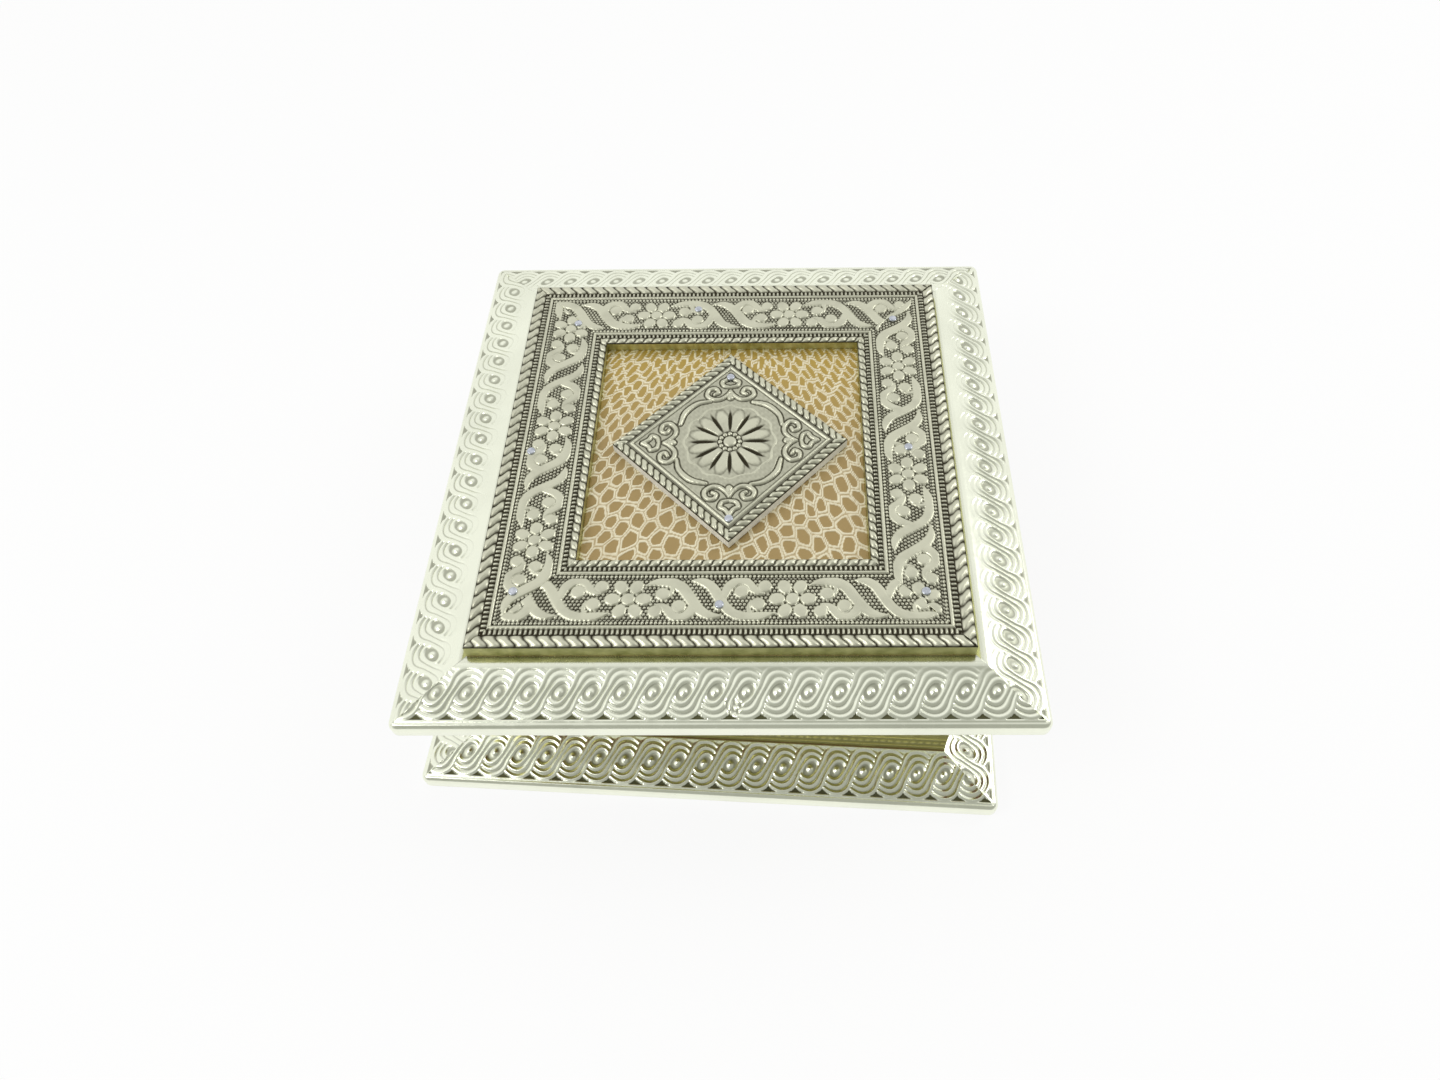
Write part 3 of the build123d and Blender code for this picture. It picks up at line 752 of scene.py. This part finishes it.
def metal(name, tarnish_and_shade, grain, bright, dark, low, high, patches, scale, rough_low, rough_high, metallic=1.0,
          bump=0.15, bump_scale=500.0, far=None):
    """A relief metal: Tarnish and painted shade for its colour, Grain for its roughness and normal. Far
    gives a second dark colour and the two distances along Y between which it comes in."""
    material = bpy.data.materials.new(name)
    material.use_nodes = True
    sketch = Sketch(material.node_tree)
    shader = material.node_tree.nodes["Principled BSDF"]
    if far is not None:
        place = sketch.add("ShaderNodeTexCoord").outputs["Object"]
        reach = sketch.add("ShaderNodeSeparateXYZ", Vector=place).outputs["Y"]
        dark = sketch.mix(sketch.ramp(reach, far[1], far[2]), dark, far[0])
    colour = sketch.add("ShaderNodeGroup", {"node_tree": tarnish_and_shade}, Bright=bright, Dark=dark, Low=low,
                        High=high, Patches=patches, Scale=scale)
    fine = sketch.add("ShaderNodeGroup", {"node_tree": grain}, Scale=bump_scale, Strength=bump)
    rough = sketch.ramp(colour.outputs["Proud"], 0.0, 1.0, rough_low, rough_high)
    uneven = sketch.math("MULTIPLY", sketch.math("SUBTRACT", fine.outputs["Value"], 0.5), 0.25)
    sketch.join(shader.inputs["Base Color"], colour.outputs["Colour"])
    sketch.join(shader.inputs["Roughness"], sketch.math("ADD", rough, uneven, clamp=True))
    sketch.join(shader.inputs["Normal"], fine.outputs["Normal"])
    sketch.join(shader.inputs["Metallic"], metallic)
    return material


def plain(name, grain, one, other, scale, rough, metallic=0.0, bump=0.3, stretch=1.0, sheen=0.0):
    """A surface between two colours of one grain: wood, board, velvet, or a sheet without relief."""
    material = bpy.data.materials.new(name)
    material.use_nodes = True
    sketch = Sketch(material.node_tree)
    shader = material.node_tree.nodes["Principled BSDF"]
    fine = sketch.add("ShaderNodeGroup", {"node_tree": grain}, Scale=scale, Strength=bump, Stretch=stretch)
    mask = sketch.ramp(fine.outputs["Value"], 0.3, 0.7)
    sketch.join(shader.inputs["Base Color"], sketch.mix(mask, one, other))
    sketch.join(shader.inputs["Roughness"], sketch.ramp(mask, 0.0, 1.0, rough - 0.08, rough + 0.08))
    sketch.join(shader.inputs["Metallic"], metallic)
    sketch.join(shader.inputs["Sheen Weight"], sheen)
    sketch.join(shader.inputs["Normal"], fine.outputs["Normal"])
    return material


def dress_node(node, material):
    """Gives a carried-over CAD node its material, in every slot it has."""
    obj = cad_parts[node]
    obj.data.materials.clear()
    obj.data.materials.append(material)


MATERIALS = {}


def material_of(key):
    """One of the box's materials; all are made when the first is asked for."""
    if not MATERIALS:
        make_materials()
    return MATERIALS[key]


def make_materials():
    """All materials of the box, from the two shared effects."""
    tarnish_and_shade, grain = tarnish_and_shade_group(), grain_group()
    given = bpy.context.scene.dryfruitbox_finish
    MATERIALS.update({
        # the foil's dark colour is painted shade, laid into its grooves, notches and creases
        "foil": metal("Embossed foil", tarnish_and_shade, grain, given.foil, srgb(92, 92, 66),
                      0.0, 0.64, 0.1, 40.0, 0.6, 0.22, bump=0.1),
        "wall": metal("Olive wall foil", tarnish_and_shade, grain, given.wall, srgb(140, 134, 76),
                      0.3, 0.95, 0.25, 45.0, 0.4, 0.28),
        "strip": metal("Oxidised silver", tarnish_and_shade, grain, given.silver, srgb(62, 58, 44),
                       0.15, 0.62, 0.18, 120.0, 0.6, 0.4, bump=0.2, bump_scale=900.0),
        "skin": metal("Crackled skin", tarnish_and_shade, grain, given.skin, srgb(170, 146, 98),
                      0.2, 0.75, 0.25, 70.0, 0.4, 0.3, metallic=0.6, far=(srgb(186, 158, 76), 0.0, 0.05)),
        "rail": plain("Frame edge foil", grain, srgb(168, 168, 108), srgb(210, 208, 152), 220.0, 0.4, 0.8),
        # the plaque block's sides: a near-white, barely metallic painted highlight in place of the bright
        # light its silver foil reflects
        "block": plain("Plaque edge painted highlight", grain, srgb(236, 236, 230), srgb(252, 252, 248), 300.0, 0.5, 0.1),
        "under": plain("Plain foil", grain, srgb(224, 226, 206), srgb(240, 242, 224), 240.0, 0.35, 1.0, 0.1),
        "board": plain("Fibre board", grain, srgb(150, 118, 80), srgb(178, 146, 104), 1500.0, 0.8),
        "batten": plain("Pine batten", grain, srgb(196, 160, 108), srgb(222, 190, 140), 300.0, 0.6,
                        stretch=6.0),
        "velvet": plain("Maroon velvet", grain, srgb(84, 12, 24), given.velvet, 1400.0, 0.9, sheen=0.6),
        "nail": plain("Nail heads", grain, srgb(168, 173, 182), srgb(214, 218, 226), 700.0, 0.25, 1.0, 0.1),
        "brad": plain("Steel brads", grain, srgb(140, 140, 140), srgb(190, 190, 188), 900.0, 0.35, 1.0),
    })


class DryFruitBoxFoil(bpy.types.PropertyGroup):
    """How finely and how deeply the plates' foil is embossed."""

    grid: FloatProperty(name="Grid", description="Spacing of the foil's points", default=0.27 * MM,
                        min=0.1 * MM, unit="LENGTH")
    depth: FloatProperty(name="Depth", description="Depth of the running wave", default=0.5 * MM,
                         min=0.0, max=0.7 * MM, unit="LENGTH")


class DryFruitBoxFrame(bpy.types.PropertyGroup):
    """How finely the cast sheets of the lid are modelled."""

    grid: FloatProperty(name="Grid", description="Spacing of the frame strips' points", default=0.3 * MM,
                        min=0.1 * MM, unit="LENGTH")
    plaque_grid: FloatProperty(name="Plaque grid", description="Spacing of the plaque's points",
                               default=0.24 * MM, min=0.1 * MM, unit="LENGTH")
    panel_grid: FloatProperty(name="Panel grid", description="Spacing of the panel's points",
                              default=0.4 * MM, min=0.1 * MM, unit="LENGTH")


def finish_colour(name, description, colour):
    """A colour setting with its default."""
    return FloatVectorProperty(name=name, description=description, default=colour, size=4, min=0.0, max=1.0,
                               subtype="COLOR")


class DryFruitBoxFinish(bpy.types.PropertyGroup):
    """Colours of the finishes where they stand proud."""

    foil: finish_colour("Foil", "Embossed foil of base and lid", srgb(245, 248, 229))
    wall: finish_colour("Wall foil", "Olive foil round the walls", srgb(222, 214, 134))
    silver: finish_colour("Silver", "Frame strips and plaque", srgb(212, 212, 190))
    skin: finish_colour("Skin", "Outlines of the panel's crackled skin", srgb(238, 230, 200))
    velvet: finish_colour("Velvet", "Pile of lining and dividers", srgb(128, 26, 40))


class DryFruitBoxStage(bpy.types.PropertyGroup):
    """Camera, floor and light."""

    lens: FloatProperty(name="Focal length", description="In millimetres for a 36 mm wide sensor",
                        default=25.605, min=1.0)
    turn: FloatProperty(name="Turn", description="Turn of the camera about the vertical",
                        default=math.radians(4.464), subtype="ANGLE")
    tilt: FloatProperty(name="Tilt", description="How far the camera looks down",
                        default=math.radians(52.018), subtype="ANGLE")
    roll: FloatProperty(name="Roll", description="Roll of the camera", default=math.radians(1.48),
                        subtype="ANGLE")
    place: FloatVectorProperty(name="Place", description="Where the camera stands",
                               default=(0.03621, -0.21943, 0.36533), subtype="TRANSLATION", unit="LENGTH")


class DRYFRUITBOX_OT_foils(bpy.types.Operator):
    """Makes the embossed foil of base and lid, four mitred pieces each"""

    bl_idname = "dryfruitbox.foils"
    bl_label = "Plate Foils"

    def execute(self, context):
        given = context.scene.dryfruitbox_foil
        plates = (("base", BASE_HOME, "box", None), ("lid", LID_HOME, "lid", HALF_FRAME + 0.1))
        for plate, home, body, lip in plates:
            for side in SIDES:
                node = f"{plate}_foil_{side}"
                obj = plate_foil(home, side, given.grid / MM, given.depth / MM, BANDS[plate, side], lip)
                obj.name = f"embossed_{node}"
                finish_piece(obj, body, "plate_foil", material_of("foil"), node)
        return {"FINISHED"}


class DRYFRUITBOX_OT_walls(bpy.types.Operator):
    """Makes the lined foil of the four walls"""

    bl_idname = "dryfruitbox.walls"
    bl_label = "Wall Foils"

    def execute(self, context):
        for side in SIDES:
            half = HALF_FLAT if side in ("front", "back") else HALF_FLAT - WALL_FOIL
            node = f"wall_foil_{side}"
            obj = wall_foil(BASE_HOME, side, PLATE_TOP, LID_HOME.low, half)
            obj.name = f"lined_{node}"
            finish_piece(obj, "box", "wall_foil", material_of("wall"), node)
        return {"FINISHED"}


class DRYFRUITBOX_OT_frame(bpy.types.Operator):
    """Makes the four cast strips of the frame"""

    bl_idname = "dryfruitbox.frame"
    bl_label = "Frame Strips"

    def execute(self, context):
        given = context.scene.dryfruitbox_frame
        for side in SIDES:
            obj = frame_strip(LID_HOME, side, given.grid / MM)
            obj.name = f"cast_frame_strip_{side}"
            finish_piece(obj, "lid", "oxidised_sheet", material_of("strip"), f"frame_strip_{side}")
        return {"FINISHED"}


class DRYFRUITBOX_OT_middle(bpy.types.Operator):
    """Makes the crackled panel and the plaque on it"""

    bl_idname = "dryfruitbox.middle"
    bl_label = "Panel and Plaque"

    def execute(self, context):
        given = context.scene.dryfruitbox_frame
        panel = square_sheet(LID_HOME, HALF_OPENING, PANEL_BOARD_TOP, PANEL_TOP, SKIN_DEPTH,
                             given.panel_grid / MM, skin_height)
        panel.name = "crackled_panel_sheet"
        finish_piece(panel, "lid", "panel_sheet", material_of("skin"), "panel_sheet")
        plaque = square_sheet(PLAQUE_HOME, HALF_PLAQUE, PLAQUE_BLOCK_TOP, PLAQUE_TOP, CAST_DEPTH,
                              given.plaque_grid / MM, plaque_height)
        plaque.name = "cast_plaque_sheet"
        finish_piece(plaque, "lid", "oxidised_sheet", material_of("strip"), "plaque_sheet")
        return {"FINISHED"}


CARRIED = (
    (("base_board", "lid_board", "wall_right", "wall_back", "wall_left", "wall_front", "panel_board"),
     "board"),
    (("base_sheet",), "under"),
    (("wall_lining_right", "wall_lining_back", "wall_lining_left", "wall_lining_front", "floor_lining",
      "lid_lining", "divider_long", "divider_cross"), "velvet"),
    (("lid_batten_right", "lid_batten_back", "lid_batten_left", "lid_batten_front"), "batten"),
    (("frame_rail_right", "frame_rail_back", "frame_rail_left", "frame_rail_front"), "rail"),
    # plaque block: near-white painted highlight on its sides
    (("plaque_block",), "block"),
    (("frame_nails", "plaque_nails"), "nail"),
    (("wall_brads", "base_brads", "batten_brads"), "brad"),
)


class DRYFRUITBOX_OT_carried(bpy.types.Operator):
    """Gives the pieces that stay as modelled their materials"""

    bl_idname = "dryfruitbox.carried"
    bl_label = "Carried Pieces"

    def execute(self, context):
        for nodes, key in CARRIED:
            for node in nodes:
                dress_node(node, material_of(key))
        return {"FINISHED"}


class DRYFRUITBOX_OT_stage(bpy.types.Operator):
    """Sets up camera, floor and light"""

    bl_idname = "dryfruitbox.stage"
    bl_label = "Stage"

    def execute(self, context):
        given = context.scene.dryfruitbox_stage
        set_camera(given)
        set_floor()
        set_lights()
        return {"FINISHED"}


# How far the photograph's middle lies off the lens axis, in frame widths
CAMERA_SHIFT = (-0.0370, -0.0745)


def set_camera(given):
    """The camera from its turn, tilt, roll and place; the sensor is 36 mm wide."""
    data = bpy.data.cameras.new("camera")
    data.lens = given.lens
    data.sensor_width = 36.0
    data.sensor_fit = "HORIZONTAL"
    data.shift_x, data.shift_y = CAMERA_SHIFT
    data.clip_start = 0.01
    c, s = math.cos(given.turn), math.sin(given.turn)
    level = np.array([c, s, 0.0])
    upward = np.array([-s * math.sin(given.tilt), c * math.sin(given.tilt), math.cos(given.tilt)])
    forward = np.array([-s * math.cos(given.tilt), c * math.cos(given.tilt), -math.sin(given.tilt)])
    right = math.cos(given.roll) * level - math.sin(given.roll) * upward
    up = math.sin(given.roll) * level + math.cos(given.roll) * upward
    camera = bpy.data.objects.new("camera", data)
    bpy.context.scene.collection.objects.link(camera)
    place = Matrix.Identity(4)
    for i in range(3):
        place[i][0], place[i][1], place[i][2], place[i][3] = right[i], up[i], -forward[i], given.place[i]
    camera.matrix_world = place
    bpy.context.scene.camera = camera


# Share of plain white in the floor, where it is seen or mirrored
FLOOR_WHITE = 0.88


def set_floor():
    """A wide pale floor, bent up far behind the box. Seen by the camera or in a reflection it is mostly
    white light, with the rest of it taking the shadow."""
    span = np.linspace(-5, 5, 13)
    reach = np.concatenate((np.linspace(-3, 2.2, 12), 2.2 + 0.8 * np.sin(np.linspace(0.2, math.pi / 2, 7))))
    lift = np.concatenate((np.zeros(12), 0.8 - 0.8 * np.cos(np.linspace(0.2, math.pi / 2, 7))))
    x, y = np.meshgrid(span, reach)
    z = np.broadcast_to(lift[:, None], x.shape)
    floor = make_mesh("floor", np.stack((x, y, z - 0.0001), -1).reshape(-1, 3), grid_faces(*x.shape))
    material = bpy.data.materials.new("White floor")
    material.use_nodes = True
    sketch = Sketch(material.node_tree)
    shader = material.node_tree.nodes["Principled BSDF"]
    shader.inputs["Base Color"].default_value = (0.93, 0.93, 0.92, 1.0)
    shader.inputs["Roughness"].default_value = 0.7
    ray = sketch.add("ShaderNodeLightPath").outputs
    mirrored = sketch.math("ADD", ray["Is Glossy Ray"], ray["Is Transmission Ray"], clamp=True)
    sight = sketch.math("ADD", ray["Is Camera Ray"], mirrored, clamp=True)
    glow = sketch.add("ShaderNodeEmission", Color=(1.0, 1.0, 1.0, 1.0), Strength=1.0)
    both = sketch.add("ShaderNodeMixShader", Fac=sketch.math("MULTIPLY", sight, FLOOR_WHITE))
    sketch.join(both.inputs[1], shader.outputs[0])
    sketch.join(both.inputs[2], glow.outputs[0])
    sketch.join(material.node_tree.nodes["Material Output"].inputs["Surface"], both.outputs[0])
    floor.data.materials.append(material)


def add_lamp(name, place, aim, size, power):
    """A rectangular area lamp that looks at a point."""
    data = bpy.data.lights.new(name, "AREA")
    data.shape = "RECTANGLE"
    data.size, data.size_y = size
    data.energy = power
    lamp = bpy.data.objects.new(name, data)
    bpy.context.scene.collection.objects.link(lamp)
    lamp.location = place
    lamp.rotation_euler = (Vector(aim) - Vector(place)).to_track_quat("-Z", "Y").to_euler()


def set_lights():
    """A world that is white to the camera, and to the metal bright behind and left of the box and duller
    in front, a broad lamp at the front left and one at the right."""
    world = bpy.data.worlds.new("world")
    world.use_nodes = True
    bpy.context.scene.world = world
    tree = world.node_tree
    sketch = Sketch(tree)
    sight = sketch.add("ShaderNodeLightPath").outputs["Is Camera Ray"]
    background = tree.nodes["Background"]
    direction = sketch.add("ShaderNodeTexCoord").outputs["Generated"]
    parts = sketch.add("ShaderNodeSeparateXYZ", Vector=direction).outputs
    leftward = sketch.math("MAXIMUM", sketch.math("MULTIPLY", parts["X"], -1.0), 0.0)
    away = sketch.math("ADD", parts["Y"], leftward)
    sky = sketch.mix(sketch.ramp(away, -0.3, 0.6), (0.42, 0.425, 0.4, 1), (0.96, 0.96, 0.96, 1))
    sketch.join(background.inputs["Color"], sketch.mix(sight, sky, (1, 1, 1, 1)))
    add_lamp("key", (-0.8, -0.5, 1.1), (0, 0, 0.03), (0.6, 0.5), 4.5)
    add_lamp("side", (0.9, 0.3, 0.8), (0, 0, 0.03), (0.4, 0.6), 2.5)


class DRYFRUITBOX_PT_panel(bpy.types.Panel):
    """Sidebar of the dry fruit box"""

    bl_label = "Dry Fruit Box"
    bl_idname = "DRYFRUITBOX_PT_panel"
    bl_space_type = "VIEW_3D"
    bl_region_type = "UI"
    bl_category = "Dry Fruit Box"

    def draw(self, context):
        for key, group in GROUPS.items():
            box = self.layout.box()
            for name in group.__annotations__:
                box.prop(getattr(context.scene, key), name)
        for operator in OPERATORS:
            self.layout.operator(operator.bl_idname)


OPERATORS = (DRYFRUITBOX_OT_foils, DRYFRUITBOX_OT_walls, DRYFRUITBOX_OT_frame, DRYFRUITBOX_OT_middle,
             DRYFRUITBOX_OT_carried, DRYFRUITBOX_OT_stage)
GROUPS = {"dryfruitbox_foil": DryFruitBoxFoil, "dryfruitbox_frame": DryFruitBoxFrame,
          "dryfruitbox_finish": DryFruitBoxFinish, "dryfruitbox_stage": DryFruitBoxStage}


def register():
    for group in GROUPS.values():
        bpy.utils.register_class(group)
    for name, group in GROUPS.items():
        setattr(bpy.types.Scene, name, PointerProperty(type=group))
    for operator in OPERATORS:
        bpy.utils.register_class(operator)
    bpy.utils.register_class(DRYFRUITBOX_PT_panel)


def unregister():
    bpy.utils.unregister_class(DRYFRUITBOX_PT_panel)
    for operator in reversed(OPERATORS):
        bpy.utils.unregister_class(operator)
    for name in GROUPS:
        delattr(bpy.types.Scene, name)
    for group in GROUPS.values():
        bpy.utils.unregister_class(group)


def main():
    register()
    bpy.context.scene.view_settings.view_transform = "Standard"
    bpy.ops.dryfruitbox.foils()
    bpy.ops.dryfruitbox.walls()
    bpy.ops.dryfruitbox.frame()
    bpy.ops.dryfruitbox.middle()
    bpy.ops.dryfruitbox.carried()
    bpy.ops.dryfruitbox.stage()


if __name__ == "__main__":
    main()
